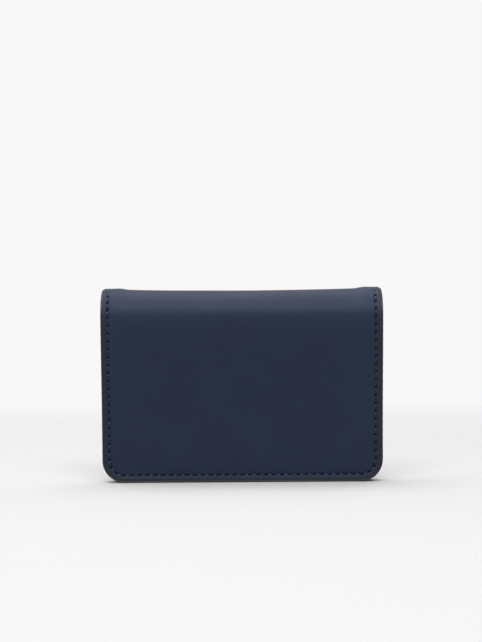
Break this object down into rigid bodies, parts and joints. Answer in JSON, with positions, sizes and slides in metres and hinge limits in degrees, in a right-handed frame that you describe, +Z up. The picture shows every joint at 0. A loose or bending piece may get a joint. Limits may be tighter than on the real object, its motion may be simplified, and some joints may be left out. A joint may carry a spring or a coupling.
{
  "type": "card holder",
  "caption": "Slim leather holder for cards with a round fold, a stitched flap that lifts, inner slots and a gusseted pocket.",
  "frame": {"origin": "middle of the closed holder's footprint, on the surface it stands on", "axes": "+X across the width; -Y the front, where the flap is; +Y the back; +Z up to the fold"},
  "size_m": [0.11, 0.015, 0.076],
  "materials": {
    "cover_leather": "smooth matte navy leather, fine grain, painted edges",
    "inner_leather": "thin matte navy leather",
    "lining": "fine woven dark lining",
    "reinforcement": "bonded non-woven sheet, hidden",
    "thread": "waxed navy thread"
  },
  "bodies": {
    "back_half": {"back_cover": "cover_leather", "back_reinforcement": "reinforcement", "back_lining": "lining", "back_seam_thread": "thread", "pocket_foot": "inner_leather", "gusset_left": "inner_leather", "gusset_right": "inner_leather"},
    "pocket": {"pocket_front": "inner_leather", "pocket_front_lining": "lining", "pocket_seam_thread": "thread"},
    "fold_link_1": {"fold_cover_1": "cover_leather", "fold_reinforcement_1": "reinforcement", "fold_lining_1": "lining", "fold_seam_thread_1": "thread"},
    "fold_link_2": {"fold_cover_2": "cover_leather", "fold_reinforcement_2": "reinforcement", "fold_lining_2": "lining", "fold_seam_thread_2": "thread"},
    "fold_link_3": {"fold_cover_3": "cover_leather", "fold_reinforcement_3": "reinforcement", "fold_lining_3": "lining", "fold_seam_thread_3": "thread"},
    "flap": {"flap_cover": "cover_leather", "flap_reinforcement": "reinforcement", "flap_lining": "lining", "flap_seam_thread": "thread", "upper_slot_margins": "inner_leather", "upper_slot_panel": "inner_leather", "lower_slot_margins": "inner_leather", "lower_slot_panel": "inner_leather"}
  },
  "joints": [
    {"name": "flap_open", "type": "hinge", "parent": "back_half", "child": "fold_link_1", "pos_m": [0, 0.00709, 0.07153], "axis": [-1, 0, 0], "range_deg": [0, 46.33]},
    {"name": "fold_turn_2", "type": "hinge", "parent": "fold_link_1", "child": "fold_link_2", "pos_m": [0, 0.0027, 0.07572], "axis": [-1, 0, 0], "range_deg": [0, 46.33]},
    {"name": "fold_turn_3", "type": "hinge", "parent": "fold_link_2", "child": "fold_link_3", "pos_m": [0, -0.00336, 0.07544], "axis": [-1, 0, 0], "range_deg": [0, 46.33]},
    {"name": "fold_turn_4", "type": "hinge", "parent": "fold_link_3", "child": "flap", "pos_m": [0, -0.00734, 0.07086], "axis": [-1, 0, 0], "range_deg": [0, 46.33]},
    {"name": "pocket_squeeze", "type": "hinge", "parent": "back_half", "child": "pocket", "pos_m": [0, 0.0046, 0.004], "axis": [-1, 0, 0], "range_deg": [0, 4.5], "deforming": ["gusset_left", "gusset_right"]}
  ],
  "couplings": [
    {"joint": "fold_turn_2", "follows": "flap_open", "ratio": 1},
    {"joint": "fold_turn_3", "follows": "flap_open", "ratio": 1},
    {"joint": "fold_turn_4", "follows": "flap_open", "ratio": 1}
  ]
}
